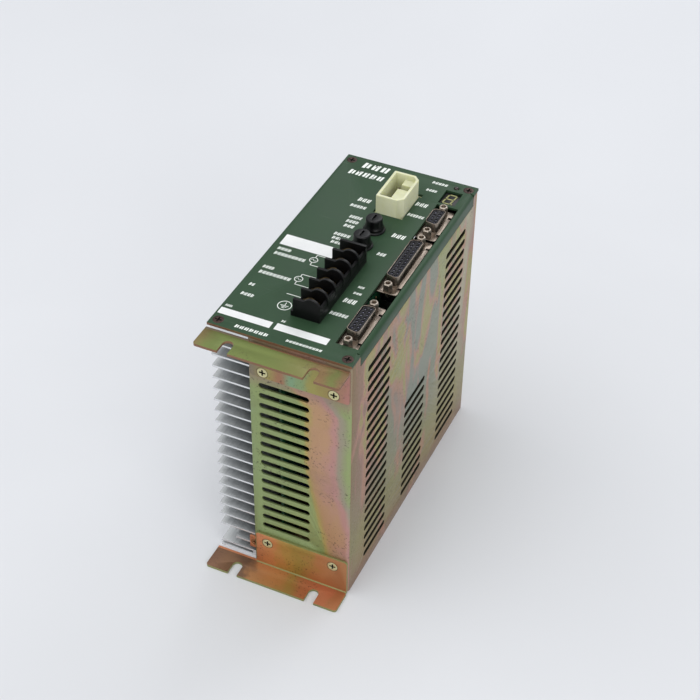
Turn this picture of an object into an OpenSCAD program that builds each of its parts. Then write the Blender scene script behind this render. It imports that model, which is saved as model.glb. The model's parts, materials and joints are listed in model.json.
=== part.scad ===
// Servo drive in a sheet-metal case. It stands on its rear face with the front panel up.
// X runs across the panel, towards the signal ports. Y runs along the panel, towards the display.
// Z runs from the mounting plane at the rear to the front panel. The origin is the middle of the
// rear face. All sizes are in millimetres.

/* [Case] */
// Width of the unit, from the fin tips to the cover's right wall
unit_w = 85; // [84:0.5:92]
// Length of the case and of the front panel
unit_l = 180; // [179:0.5:190]
// Height of the front panel's face above the mounting plane
unit_h = 174; // [172:0.5:186]
// Width of the sheet-metal cover
cover_w = 60.3; // [60:0.1:61]
// Thickness of the cover and of the rear plate
sheet_t = 1.2; // [1:0.1:1.4]
// Thickness of the front panel
panel_t = 1.6; // [1.4:0.1:2]

/* [Vents] */
// Distance between rows of vent slots
vent_pitch = 7.2; // [6.5:0.1:8]
// Height of the lowest row of vent slots
vent_z0 = 11.4; // [10:0.1:13]
// Length of a vent slot
vent_l = 30.4; // [24:0.2:32]
// Width of a vent slot
vent_w = 3.8; // [2.4:0.1:4]

/* [Heatsink] */
// Distance between fins
fin_pitch = 8.2; // [7.8:0.1:8.4]
// Thickness of a fin
fin_t = 1.2; // [0.9:0.1:1.6]
// Height of the lowest, short fin
fin_z0 = 10.6; // [10:0.1:11.4]

/* [Brackets] */
// Thickness of the bracket sheet
bracket_t = 1.6; // [1.4:0.1:2]
// How far the lower bracket stands out from the end of the case
lower_reach = 17.4; // [16:0.2:24]
// How far the upper bracket stands out from the end of the case
upper_reach = 16; // [15:0.2:24]
// Height of the lower bracket's leg, which lies on the end wall
lower_leg = 26; // [24:0.5:28]
// Height of the upper bracket's leg
upper_leg = 23; // [23:0.5:28]
// Distance between the two open mounting notches
notch_pitch = 50; // [48:1:52]
// Width of a mounting notch
notch_w = 6.2; // [5.5:0.1:7]
// Depth of a mounting notch
notch_depth = 9.8; // [8:0.2:12]

/* [Terminals] */
// Number of screw terminals
terminal_count = 6; // [2:1:6]
// Distance between screw terminals
terminal_pitch = 9.8; // [9.5:0.1:10]
// How far a terminal screw lifts before it comes free
screw_lift = 3; // [2:0.5:4]

/* [Hidden] */
$fn = 48;
CLEAR = 0.1;

// Case edges
left_x = -unit_w / 2;
right_x = unit_w / 2;
end_y = unit_l / 2;
cover_x = right_x - cover_w;
inner_x = right_x - sheet_t;
panel_z = unit_h - panel_t;
cover_top = panel_z;
corner_r = 2.4;

// Side lip of the front panel, which fills a step in the cover's right wall
lip_h = 8;
lip_near = -end_y + 11.3;
lip_far = end_y - 8.2;
lip_r = 2.2;
slit_w = 0.8;

// Screws
m3_r = 1.45;
m3_hole_r = 1.5;
m3_clear_r = 1.7;
head_r = 3.1;
head_h = 1.5;
panel_screw_x = [left_x + 4.5, right_x - 4.6];
panel_screw_y = end_y - 4.8;
leg_screw_x = [-9.1, 33];
leg_screw_z = 19.5;
upper_z = unit_h - 2.4;
flange_corner_r = 1.8;
leg_corner_r = 1.6;

// Heatsink
sink_end = end_y - 2.6;
sink_top = panel_z - 0.4;
base_t = 4;
base_x = cover_x + base_t;
fin_count = 19;
ear_x = cover_x - 1.1;
ear_z = 13.2;
ear_boss_r = 3.4;

// Vent columns
end_vent_x = 2.6;
side_vent_y = [-53.7, 1.5, 56.4];

// Signal ports. Each has its middle, shell length, flange length, socket spacing and long row.
port_x = 32.1;
flange_z = unit_h - 2.2;
flange_t = 0.8;
flange_w = 12.5;
shell_w = 7.9;
shell_rise = 6.1;
shell_wall = 0.45;
port_row = 1.42;
port_step = 2.77;
jack_r = 1.42;
jack_clear_r = 2.05;
jack_h = 5.1;
sensor_port = [-55.95, 24.66, 39.14, 33.32, 8];
io_port = [2.95, 38.38, 53.04, 47.04, 13];
serial_port = [47.3, 16.33, 30.81, 24.99, 5];
PORTS = [sensor_port, io_port, serial_port];

// Openings in the front panel
port_cut = [26.4, -76, 39.7, 64.3];
display_cut = [25.9, 66.3, 36.3, 80.1];
led_xy = [30.7, 84.1];
led_r = 1.5;

// Motor connector
motor_mid = [5.5, 55];
motor_size = [16.6, 28];
motor_rise = 12.2;
motor_chamfer = 3.4;
motor_wall = 1.6;
motor_floor_z = unit_h - 9;

// Fuse holders
fuse_x = 3.5;
fuse_y = [24.9, 8];
fuse_flange_r = 6.5;
fuse_body_r = 6;
fuse_depth = 30;
fuse_cap_h = 8.6;
fuse_cap_gap = 1.6;
fuse_r = 2.6;
fuse_l = 20;
fuse_top_z = unit_h - 2.5;

// Terminal block
block_x = 3.7;
block_w = 17.2;
block_near = -65.5;
block_wall_t = 1.7;
block_base_h = 5;
block_wall_h = 11.6;
dome_r = 5.2;
plate_top = unit_h + block_base_h + 1;
block_l = terminal_count * terminal_pitch + block_wall_t;

// Circuit boards
board_t = 1.6;
power_board_x = -4.5;
control_board_x = 24.1;
board_post_y = 74;
board_post_z = [14, 150];
board_top = 158;

// Outline helpers

function unit(v) = v / norm(v);
function fillet(a, b, c, r, n) =
    let (
        u = unit(a - b),
        v = unit(c - b),
        half = acos(u * v) / 2,
        o = b + unit(u + v) * r / sin(half),
        s = b + u * r / tan(half) - o,
        e = b + v * r / tan(half) - o,
        a0 = atan2(s[1], s[0]),
        sweep = (atan2(e[1], e[0]) - a0 + 540) % 360 - 180
    )
    [for (i = [0:n]) o + r * [cos(a0 + sweep * i / n), sin(a0 + sweep * i / n)]];
function rounded(pts, r, n = 6) =
    let (k = len(pts))
    [for (i = [0:k - 1]) each fillet(pts[(i + k - 1) % k], pts[i], pts[(i + 1) % k], r, n)];
function rect(x0, y0, x1, y1) = [[x0, y0], [x1, y0], [x1, y1], [x0, y1]];

module box(x0, y0, z0, x1, y1, z1) {
    translate([x0, y0, z0]) cube([x1 - x0, y1 - y0, z1 - z0]);
}

// A prism along Y, whose outline is given in X and Z
module prism_y(y0, y1) {
    translate([0, y1, 0]) rotate([90, 0, 0]) linear_extrude(height = y1 - y0) children();
}

// A prism along X, whose outline is given in Y and Z
module prism_x(x0, x1) {
    translate([x0, 0, 0]) rotate([90, 0, 90]) linear_extrude(height = x1 - x0) children();
}

// A rod along Y from y0 to y1
module rod_y(x, z, r, y0, y1) {
    translate([x, y1, z]) rotate([90, 0, 0]) cylinder(r = r, h = y1 - y0);
}

// A rod along X from x0 to x1
module rod_x(y, z, r, x0, x1) {
    translate([x0, y, z]) rotate([0, 90, 0]) cylinder(r = r, h = x1 - x0);
}

// A round-ended slot lying along the first axis of its sketch
module slot_shape(l, w) {
    square([l - w, w], center = true);
    for (s = [-1, 1]) translate([s * (l - w) / 2, 0]) circle(d = w);
}

// The cross recess of a screw, pointing down from the origin
module cross_recess(size, depth) {
    for (a = [0, 90]) rotate([0, 0, a]) translate([-size / 2, -size / 8, -depth])
        cube([size, size / 4, depth + 1]);
}

// A countersunk screw with its head's face at the origin and its shank pointing down
module flat_screw(shank_l, r = m3_r, head = head_r) {
    difference() {
        union() {
            translate([0, 0, -head_h]) cylinder(r1 = r, r2 = head, h = head_h);
            translate([0, 0, -shank_l]) cylinder(r = r, h = shank_l - head_h);
        }
        cross_recess(head * 1.25, head_h * 0.75);
    }
}

// The hole that takes a countersunk screw, open a little past the sheet's face
module flat_screw_hole(l, r = m3_clear_r, head = head_r) {
    translate([0, 0, -head_h - CLEAR]) cylinder(r1 = r, r2 = head + CLEAR, h = head_h + CLEAR);
    translate([0, 0, -l]) cylinder(r = r, h = l);
    cylinder(r = head + CLEAR, h = 1);
}

// Repeats its children at both ends of the case
module both_ends() {
    children();
    mirror([0, 1, 0]) children();
}

// Case

module panel_lip_shape() {
    translate([right_x - panel_t, unit_h - lip_h]) square([panel_t, lip_h - lip_r]);
    intersection() {
        translate([right_x - lip_r, unit_h - lip_r]) difference() {
            circle(r = lip_r);
            circle(r = lip_r - panel_t);
        }
        translate([right_x - lip_r, unit_h - lip_r]) square(lip_r);
    }
}

module front_panel() {
    flat_x = right_x - lip_r;
    color([0.26, 0.36, 0.28]) difference() {
        union() {
            box(left_x, -end_y, panel_z, flat_x, end_y, unit_h);
            box(flat_x, -end_y, panel_z, right_x, lip_near - slit_w, unit_h);
            box(flat_x, lip_far + slit_w, panel_z, right_x, end_y, unit_h);
            prism_y(lip_near, lip_far) panel_lip_shape();
        }
        for (x = panel_screw_x, s = [-1, 1])
            translate([x, s * panel_screw_y, unit_h]) flat_screw_hole(panel_t + 1);
        box(port_cut[0], port_cut[1], panel_z - 1, port_cut[2], port_cut[3], unit_h + 1);
        box(display_cut[0], display_cut[1], panel_z - 1, display_cut[2], display_cut[3], unit_h + 1);
        translate([led_xy[0], led_xy[1], panel_z - 1]) cylinder(r = led_r + 0.2, h = panel_t + 2);
        motor_window(panel_z - 1, unit_h + 1);
        for (y = fuse_y)
            translate([fuse_x, y, panel_z - 1]) cylinder(r = fuse_body_r + 0.15, h = panel_t + 2);
        box(block_x - 4.6, block_near + 3, panel_z - 1, block_x + 2, block_near + block_l - 3, unit_h + 1);
    }
}

module motor_window(z0, z1) {
    w = motor_size[0] / 2 + 0.2;
    l = motor_size[1] / 2 + 0.2;
    translate([motor_mid[0], motor_mid[1], 0]) {
        box(-w, -l, z0, w, l, z1);
        box(-w - 1.4, -l, z0, -w + 1, -l + 3, z1);
        box(w - 1, l - 3, z0, w + 1.4, l, z1);
    }
}

// Plan of the cover: a U that is open towards the heatsink, with rounded bends on the right
module cover_plan() {
    difference() {
        right_rounded(cover_x, right_x, end_y, corner_r);
        right_rounded(cover_x - 1, inner_x, end_y - sheet_t, corner_r - sheet_t);
    }
}

module right_rounded(x0, x1, y, r) {
    translate([x0, -y]) square([x1 - x0 - r, 2 * y]);
    translate([x0, r - y]) square([x1 - x0, 2 * (y - r)]);
    for (s = [-1, 1]) translate([x1 - r, s * (y - r)]) circle(r = r);
}

module side_vents() {
    for (col = [0:2], row = [0:(col == 1 ? 10 : 20)])
        translate([side_vent_y[col], vent_z0 + row * vent_pitch]) slot_shape(vent_l, vent_w);
}

module end_vents() {
    for (row = [3:18]) translate([end_vent_x, vent_z0 + row * vent_pitch]) slot_shape(vent_l, vent_w);
}

module cover() {
    step_z = unit_h - lip_h - 0.3;
    color([0.66, 0.62, 0.44]) difference() {
        union() {
            linear_extrude(height = cover_top) cover_plan();
            both_ends() box(base_x + 0.2, -end_y + 0.5, cover_top - sheet_t,
                            inner_x - corner_r, -end_y + 9.5, cover_top);
            both_ends() box(right_x - 9, -end_y + corner_r, cover_top - sheet_t,
                            inner_x + 0.5, -end_y + 9.5, cover_top);
        }
        box(inner_x - 1, lip_near - slit_w / 2, step_z, right_x + 1, lip_far + slit_w / 2, cover_top + 1);
        prism_x(inner_x - 0.5, right_x + 1) side_vents();
        prism_y(-end_y - 1, end_y + 1) end_vents();
        both_ends() for (x = leg_screw_x) rod_y(x, leg_screw_z, m3_clear_r, -end_y - 1, -end_y + 3);
        for (x = leg_screw_x) rod_y(x, upper_z - leg_screw_z, m3_clear_r, -end_y - 1, -end_y + 3);
        for (s = [-1, 1]) translate([panel_screw_x[1], s * panel_screw_y, cover_top - 3])
            cylinder(r = m3_clear_r, h = 5);
        translate([led_xy[0], led_xy[1], cover_top - 3]) cylinder(r = led_r + 0.8, h = 5);
    }
}

module rear_plate() {
    y0 = -end_y + sheet_t + CLEAR;
    x0 = base_x + 0.2;
    x1 = inner_x - 0.9;
    ear_left = ear_x - ear_boss_r;
    color([0.72, 0.42, 0.26]) difference() {
        union() {
            box(x0, y0, 0, x1, -y0, sheet_t);
            both_ends() {
                box(x0, y0, 0, x1, y0 + sheet_t, 27);
                box(ear_left, y0, ear_z - 4.5, x0 + 1, y0 + sheet_t, ear_z + 4.5);
            }
        }
        both_ends() {
            for (x = leg_screw_x) rod_y(x, leg_screw_z, m3_clear_r, y0 - 1, y0 + 3);
            translate([ear_x, y0, ear_z]) rotate([90, 0, 0]) flat_screw_hole(4, head = 2.7);
        }
    }
}

// Heatsink: one extrusion along Y
module heatsink_shape() {
    tip = left_x + 0.2;
    root = cover_x + 0.5;
    translate([cover_x, 0]) square([base_t, sink_top]);
    // short fin, then the full fins
    translate([left_x + 10, fin_z0 - fin_t / 2]) square([root - left_x - 10, fin_t]);
    for (i = [1:fin_count - 1])
        translate([tip, fin_z0 + i * fin_pitch - fin_t / 2]) square([root - tip, fin_t]);
    // grooved foot and solid head
    translate([tip, 0]) square([root - tip, 1.4]);
    translate([tip, 3.3]) square([root - tip, 1.3]);
    translate([root - 4, 0]) square([4, 4]);
    translate([tip, sink_top - 3.4]) square([root - tip, 3.4]);
    translate([ear_x, ear_z]) circle(r = ear_boss_r);
}

module heatsink() {
    color([0.72, 0.73, 0.74]) difference() {
        prism_y(-sink_end, sink_end) heatsink_shape();
        both_ends() {
            rod_y(ear_x, ear_z, m3_hole_r, -sink_end - 1, -sink_end + 12);
            rod_y(ear_x, ear_z, 2, -sink_end - 1, -sink_end + 0.6);
        }
        for (s = [-1, 1]) translate([panel_screw_x[0], s * panel_screw_y, sink_top - 5])
            cylinder(r = m3_hole_r, h = 6);
        for (s = [-1, 1], z = board_post_z)
            rod_x(s * board_post_y, z, m3_hole_r, cover_x + 0.6, base_x + 1);
    }
}

// Brackets

// Section of a bracket across its bend: the flange lies at the bottom and the leg stands on the wall
module bracket_section(reach, leg_h) {
    r = bracket_t + 0.8;
    wall = -end_y - CLEAR;
    translate([wall - bracket_t, r]) square([bracket_t, leg_h - r]);
    translate([-end_y - reach, 0]) square([reach - r - CLEAR, bracket_t]);
    translate([wall - r, r]) intersection() {
        difference() {
            circle(r = r);
            circle(r = r - bracket_t);
        }
        translate([0, -r]) square(r);
    }
}

module bracket_plan(reach) {
    front = -end_y - reach;
    difference() {
        polygon([
            each fillet([left_x, -end_y], [left_x, front], [right_x, front], flange_corner_r, 6),
            each fillet([left_x, front], [right_x, front], [right_x, -end_y], flange_corner_r, 6),
            [right_x, -end_y],
            [left_x, -end_y]
        ]);
        for (s = [-1, 1]) translate([s * notch_pitch / 2, front]) {
            translate([-notch_w / 2, -1]) square([notch_w, notch_depth - notch_w / 2 + 1]);
            translate([0, notch_depth - notch_w / 2]) circle(d = notch_w);
        }
    }
}

module bracket(reach, leg_h) {
    leg_left = cover_x + 1.4;
    difference() {
        intersection() {
            union() {
                prism_x(leg_left, right_x - 0.4) bracket_section(reach, leg_h);
                box(left_x, -end_y - reach, 0, leg_left, -end_y - 0.6, bracket_t);
                box(right_x - 0.4, -end_y - reach, 0, right_x, -end_y - 3, bracket_t);
            }
            union() {
                linear_extrude(height = 3 * bracket_t) bracket_plan(reach);
                prism_y(-end_y - 3, -end_y)
                    polygon(rounded(rect(leg_left, -5, right_x - 0.4, leg_h), leg_corner_r));
            }
        }
        for (x = leg_screw_x)
            translate([x, -end_y - bracket_t - CLEAR, leg_screw_z])
                rotate([90, 0, 0]) flat_screw_hole(4);
    }
}

module bracket_lower() {
    color([0.70, 0.45, 0.30]) bracket(lower_reach, lower_leg);
}

module bracket_upper() {
    color([0.48, 0.50, 0.28]) translate([0, 0, upper_z]) mirror([0, 0, 1])
        bracket(upper_reach, upper_leg);
}

module panel_screws() {
    color([0.25, 0.20, 0.18]) for (x = panel_screw_x, s = [-1, 1])
        translate([x, s * panel_screw_y, unit_h]) flat_screw(6.5);
}

module bracket_screws() {
    color([0.72, 0.68, 0.42]) for (x = leg_screw_x, z = [leg_screw_z, upper_z - leg_screw_z])
        translate([x, -end_y - bracket_t - CLEAR, z]) rotate([90, 0, 0]) flat_screw(8);
}

// A pan-head screw with the underside of its head at the origin and its shank pointing down
module pan_screw(shank_l, r = m3_r, head = 2.8) {
    difference() {
        union() {
            cylinder(r = head, h = 1.3);
            translate([0, 0, 1.3]) cylinder(r1 = head, r2 = head - 0.9, h = 0.7);
            translate([0, 0, -shank_l]) cylinder(r = r, h = shank_l + 0.5);
        }
        translate([0, 0, 2]) cross_recess(head * 1.15, 1.2);
    }
}

// The screws that hold the rear plate to the far wall, where there is no bracket
module rear_plate_screws() {
    color([0.72, 0.68, 0.42]) for (x = leg_screw_x)
        translate([x, end_y + CLEAR / 2, leg_screw_z]) rotate([-90, 0, 0]) pan_screw(6.5);
}

module ear_screws() {
    color([0.80, 0.50, 0.28]) both_ends()
        translate([ear_x, -end_y + sheet_t + CLEAR, ear_z]) rotate([90, 0, 0]) flat_screw(9, head = 2.7);
}

// A round nut pressed into sheet, lying along Y
module clinch_nut(x, z, y0) {
    difference() {
        rod_y(x, z, 3, y0, y0 + 2.6);
        rod_y(x, z, m3_hole_r, y0 - 1, y0 + 4);
    }
}

module clinch_nuts() {
    wall_in = -end_y + sheet_t;
    color([0.70, 0.70, 0.66]) {
        for (x = leg_screw_x) {
            both_ends() clinch_nut(x, leg_screw_z, wall_in + CLEAR + sheet_t);
            clinch_nut(x, upper_z - leg_screw_z, wall_in);
        }
        for (s = [-1, 1]) translate([panel_screw_x[1], s * panel_screw_y, cover_top - sheet_t - 2.6])
            difference() {
                cylinder(r = 2.9, h = 2.6);
                translate([0, 0, -1]) cylinder(r = m3_hole_r, h = 5);
            }
    }
}

// Terminal block

function terminal_y(i) = block_near + block_wall_t / 2 + (i + 0.5) * terminal_pitch;

// Outline of a wall between terminals: low on the wire side, domed over the screw side
module barrier_shape(domed) {
    x0 = block_x - block_w / 2;
    x1 = block_x + block_w / 2;
    translate([x0 + 1.4, unit_h + 1]) square([block_w - 1.4 - (domed ? dome_r : 0), block_wall_h - 1]);
    if (domed) {
        translate([x1 - 2 * dome_r, unit_h + 1]) square([2 * dome_r, block_wall_h - 4]);
        translate([x1 - dome_r, unit_h + block_wall_h - 3]) circle(r = dome_r);
    }
}

module terminal_block() {
    x0 = block_x - block_w / 2;
    x1 = block_x + block_w / 2;
    color([0.08, 0.08, 0.09]) difference() {
        union() {
            box(x0, block_near, unit_h + 0.02, x1, block_near + block_l, unit_h + block_base_h - 1.8);
            box(x0 + 3, block_near, unit_h + 1, x1, block_near + block_l, unit_h + block_base_h);
            box(x1 - 1.6, block_near, unit_h + 1, x1 - 0.2, block_near + block_l, unit_h + block_base_h + 3.4);
            for (i = [0:terminal_count]) {
                y = block_near + i * terminal_pitch;
                prism_y(y, y + block_wall_t) barrier_shape(i < terminal_count);
            }
        }
        for (i = [0:terminal_count - 1]) {
            translate([block_x, terminal_y(i), unit_h - 1]) cylinder(r = 1.85, h = 8);
            box(block_x - 3.6, terminal_y(i) - 1.6, unit_h - 1, block_x - 2.4, terminal_y(i) + 1.6, unit_h + 8);
        }
    }
}

module terminal_plates() {
    color([0.78, 0.62, 0.30]) for (i = [0:terminal_count - 1]) {
        y = terminal_y(i);
        difference() {
            union() {
                box(block_x - 5.2, y - 3.7, unit_h + block_base_h, block_x + 4.6, y + 3.7, plate_top);
                box(block_x - 3.4, y - 1.4, unit_h - 12, block_x - 2.6, y + 1.4, plate_top - 0.2);
            }
            translate([block_x, y, unit_h]) cylinder(r = 1.8, h = 12);
        }
    }
}

module terminal_washer(i) {
    color([0.80, 0.66, 0.36]) difference() {
        box(block_x - 3.4, terminal_y(i) - 3.4, plate_top + 0.05,
            block_x + 3.4, terminal_y(i) + 3.4, plate_top + 0.85);
        translate([block_x, terminal_y(i), plate_top - 1]) cylinder(r = 1.85, h = 3);
    }
}

module terminal_screw(i) {
    head_z = plate_top + 0.9;
    color([0.82, 0.68, 0.36]) translate([block_x, terminal_y(i), head_z]) difference() {
        union() {
            cylinder(r = 3.2, h = 1.3);
            translate([0, 0, 1.3]) cylinder(r1 = 3.2, r2 = 2.4, h = 0.8);
            translate([0, 0, -6.6]) cylinder(r = 1.72, h = 6.7);
        }
        translate([0, 0, 2.1]) cross_recess(3.6, 1.4);
    }
}

// Fuse holders

module fuse_holder(i) {
    color([0.07, 0.07, 0.08]) translate([fuse_x, fuse_y[i], unit_h]) difference() {
        union() {
            cylinder(r = fuse_flange_r, h = 0.8);
            translate([0, 0, 0.8]) cylinder(r1 = fuse_flange_r, r2 = fuse_flange_r - 0.7, h = 0.6);
            translate([0, 0, -fuse_depth]) cylinder(r = fuse_body_r, h = fuse_depth + 0.2);
        }
        translate([0, 0, -8]) cylinder(r = 4.7, h = 12);
        translate([0, 0, -fuse_depth + 3]) cylinder(r = fuse_r + 0.4, h = fuse_depth);
    }
}

module fuse_nuts() {
    color([0.10, 0.10, 0.11]) for (y = fuse_y)
        translate([fuse_x, y, panel_z - 3.4]) difference() {
            cylinder(r = 7.9, h = 3.2, $fn = 6);
            translate([0, 0, -1]) cylinder(r = fuse_body_r + CLEAR, h = 6);
        }
}

module fuse_link(i) {
    color([0.80, 0.82, 0.80]) translate([fuse_x, fuse_y[i], fuse_top_z - fuse_l]) {
        cylinder(r = fuse_r, h = 5);
        translate([0, 0, 5]) cylinder(r = fuse_r - 0.25, h = fuse_l - 10);
        translate([0, 0, fuse_l - 5]) cylinder(r = fuse_r, h = 5);
    }
}

module fuse_cap(i) {
    stem_z = -7;
    color([0.06, 0.06, 0.07]) translate([fuse_x, fuse_y[i], unit_h]) difference() {
        union() {
            translate([0, 0, stem_z]) cylinder(r = 4.4, h = fuse_cap_gap - stem_z + 0.1);
            translate([0, 0, fuse_cap_gap]) rotate_extrude() polygon([
                [0, 0], [5.75, 0], [5.75, 0.7], [5.2, 1.9], [4.95, 3.4],
                [4.85, fuse_cap_h - fuse_cap_gap - 0.5], [4.4, fuse_cap_h - fuse_cap_gap], [0, fuse_cap_h - fuse_cap_gap]
            ]);
        }
        translate([0, 0, stem_z - 1]) cylinder(r = fuse_r + 0.15, h = fuse_top_z - unit_h - stem_z + 1.3);
        translate([-0.6, -2.7, fuse_cap_h - 1.3]) cube([1.2, 5.4, 3]);
    }
}

// Motor connector

function motor_outline(g) =
    let (w = motor_size[0] / 2 - g, l = motor_size[1] / 2 - g, c = motor_chamfer - 0.6 * g)
    [[-w, -l], [w - c, -l], [w, c - l], [w, l - c], [w - c, l], [-w, l]];

module motor_shroud() {
    z0 = unit_h - 14;
    rim = unit_h + motor_rise;
    w = motor_size[0] / 2;
    l = motor_size[1] / 2;
    color([0.80, 0.81, 0.66]) translate([motor_mid[0], motor_mid[1], 0]) difference() {
        union() {
            translate([0, 0, z0]) linear_extrude(height = rim - z0) polygon(motor_outline(0));
            box(-w - 1.6, -l - 1.6, panel_z - 2.2, w + 1.6, l + 1.6, panel_z - 0.1);
        }
        difference() {
            translate([0, 0, motor_floor_z]) linear_extrude(height = rim) polygon(motor_outline(motor_wall));
            box(-1.1, 7, z0, w, l, rim - 3.7);
            box(-1.8, -l, z0, w, 3.2, rim - 4.2);
        }
        for (y = [-8.4, 0, 8.4]) box(-4.6, y - 1.5, z0 - 1, -2.4, y + 1.5, motor_floor_z + 1);
    }
}

module motor_contacts() {
    color([0.35, 0.24, 0.16]) translate([motor_mid[0], motor_mid[1], 0])
        for (y = [-8.4, 0, 8.4])
            box(-4.1, y - 1.2, unit_h - 18, -2.9, y + 1.2, unit_h + 4);
}

// Signal ports

function port_outline(l, w) =
    let (dy = w * tan(10))
    [[w / 2, -l / 2], [w / 2, l / 2], [-w / 2, l / 2 - dy], [-w / 2, dy - l / 2]];

module port_shell(p) {
    l = p[1];
    color([0.66, 0.62, 0.56]) translate([port_x, p[0], flange_z]) difference() {
        union() {
            translate([0, 0, -flange_t]) linear_extrude(height = flange_t)
                polygon(rounded(rect(-flange_w / 2, -p[2] / 2, flange_w / 2, p[2] / 2), 1.4));
            translate([0, 0, -0.2]) linear_extrude(height = shell_rise + 0.2)
                polygon(rounded(port_outline(l, shell_w), 2.3));
        }
        translate([0, 0, -2]) linear_extrude(height = shell_rise + 4)
            polygon(rounded(port_outline(l - 2 * shell_wall, shell_w - 2 * shell_wall), 1.9));
        for (s = [-1, 1]) {
            translate([0, s * p[3] / 2, -2]) cylinder(r = jack_clear_r, h = 4);
            translate([flange_w / 2 - 0.9, s * (p[3] / 2 - 3.3), -1.5]) cube([2, 1.6, 3], center = true);
        }
    }
}

// Middles of a port's contacts, the long row on the right
function contact_spots(n) = concat(
    [for (i = [0:n - 1]) [port_row, (i - (n - 1) / 2) * port_step]],
    [for (i = [0:n - 2]) [-port_row, (i - (n - 2) / 2) * port_step]]
);

module port_insert(p) {
    g = shell_wall + 0.05;
    color([0.06, 0.06, 0.07]) translate([port_x, p[0], flange_z]) difference() {
        union() {
            translate([0, 0, -1.5]) linear_extrude(height = shell_rise + 1.2)
                polygon(rounded(port_outline(p[1] - 2 * g, shell_w - 2 * g), 1.8));
            box(-5.2, -p[1] / 2 - 1.5, -10, 5.2, p[1] / 2 + 1.5, -flange_t - 0.05);
        }
        for (c = contact_spots(p[4])) translate([c[0], c[1], -6]) cylinder(r = 0.8, h = 20, $fn = 24);
    }
}

module port_contacts(p) {
    color([0.72, 0.70, 0.66]) translate([port_x, p[0], flange_z])
        for (c = contact_spots(p[4])) translate([c[0], c[1], -5.9]) difference() {
            cylinder(r = 0.74, h = shell_rise + 4.9, $fn = 24);
            translate([0, 0, 5]) cylinder(r = 0.5, h = 10, $fn = 24);
        }
}

module jack_sockets() {
    color([0.72, 0.70, 0.68]) for (p = PORTS, s = [-1, 1])
        translate([port_x, p[0] + s * p[3] / 2, flange_z]) difference() {
            union() {
                intersection() {
                    cylinder(r = 2.75, h = jack_h, $fn = 6);
                    union() {
                        cylinder(r = 3, h = jack_h - 0.7);
                        translate([0, 0, jack_h - 0.7]) cylinder(r1 = 2.8, r2 = 2.1, h = 0.7);
                    }
                }
                translate([0, 0, -4]) cylinder(r = 1.4, h = 4.1);
            }
            translate([0, 0, 0.4]) cylinder(r = jack_r, h = jack_h);
        }
}

// Display, lamp and check pins

module digit_display() {
    w = display_cut[2] - display_cut[0] - 0.5;
    l = display_cut[3] - display_cut[1] - 0.5;
    color([0.10, 0.10, 0.10])
        box(display_cut[0] + 0.25, display_cut[1] + 0.25, panel_z - 6.5,
            display_cut[0] + 0.25 + w, display_cut[1] + 0.25 + l, panel_z + 0.4);
}

// One bar of the digit, along X, with pointed ends
module digit_bar(l, w) {
    polygon([[-l / 2, 0], [w / 2 - l / 2, w / 2], [l / 2 - w / 2, w / 2], [l / 2, 0],
             [l / 2 - w / 2, -w / 2], [w / 2 - l / 2, -w / 2]]);
}

module digit_segments() {
    mid = [(display_cut[0] + display_cut[2]) / 2, (display_cut[1] + display_cut[3]) / 2];
    h = 4.6;
    w = 4.8;
    t = 0.95;
    color([0.62, 0.66, 0.46]) translate([mid[0] - 0.3, mid[1], panel_z + 0.4])
        linear_extrude(height = 0.15) multmatrix([[1, 0.14, 0, 0], [0, 1, 0, 0], [0, 0, 1, 0]]) {
            for (k = [-1, 0, 1]) translate([0, k * h]) digit_bar(w - 0.3, t);
            for (sx = [-1, 1], sy = [-1, 1])
                translate([sx * w / 2, sy * h / 2]) rotate(90) digit_bar(h - 0.3, t);
            translate([w / 2 + 1.1, -h]) circle(r = 0.5, $fn = 24);
        }
}

module power_led() {
    color([0.35, 0.12, 0.10]) translate([led_xy[0], led_xy[1], 0]) {
        translate([0, 0, unit_h - 5]) cylinder(r = led_r, h = 4.6);
        translate([0, 0, unit_h - 0.45]) intersection() {
            sphere(r = led_r);
            cylinder(r = 2, h = 2);
        }
        translate([0, 0, unit_h - 6]) cylinder(r = led_r + 0.45, h = 1.1);
    }
}

module check_pins() {
    color([0.75, 0.68, 0.30]) for (y = [-33, -27]) translate([28, y, 0]) {
        translate([0, 0, panel_z - 9]) cylinder(r = 0.5, h = 7);
        translate([0, 0, panel_z - 9]) cylinder(r = 1.3, h = 2.6);
    }
}

// Electronics inside

module control_board() {
    color([0.10, 0.32, 0.20]) difference() {
        union() {
            box(control_board_x, -80, 8, control_board_x + board_t, 80, board_top);
            box(control_board_x, -78, board_top - 1, control_board_x + board_t, 80, panel_z - 5);
            for (y = [-33, -27]) box(control_board_x + 1, y - 1.5, panel_z - 11, 29.6, y + 1.5, panel_z - 9);
            box(control_board_x + 1, 82, panel_z - 9, 32.6, 86, panel_z - 4.4);
            box(control_board_x, 76, panel_z - 9, control_board_x + board_t, 86, panel_z - 5);
        }
        for (s = [-1, 1], z = board_post_z)
            rod_x(s * board_post_y, z, m3_clear_r, control_board_x - 1, control_board_x + 3);
    }
}

module control_chips() {
    x = control_board_x + board_t + 0.02;
    color([0.10, 0.10, 0.11]) {
        box(x, -20, 96, x + 3.2, 12, 128);
        box(x, 28, 100, x + 3.2, 66, 114);
        box(x, 28, 122, x + 3.2, 66, 136);
        box(x, -60, 96, x + 3.2, -36, 110);
        box(x, -62, 24, x + 3.2, -20, 38);
        box(x, 20, 24, x + 3.2, 60, 38);
        for (i = [0:3]) box(x, -60 + i * 9, 120, x + 2.4, -54 + i * 9, 132);
    }
}

module power_board() {
    color([0.12, 0.30, 0.18]) difference() {
        box(power_board_x, -82, 8, power_board_x + board_t, 82, board_top);
        for (s = [-1, 1], z = board_post_z)
            rod_x(s * board_post_y, z, m3_clear_r, power_board_x - 1, power_board_x + 3);
    }
}

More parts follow.
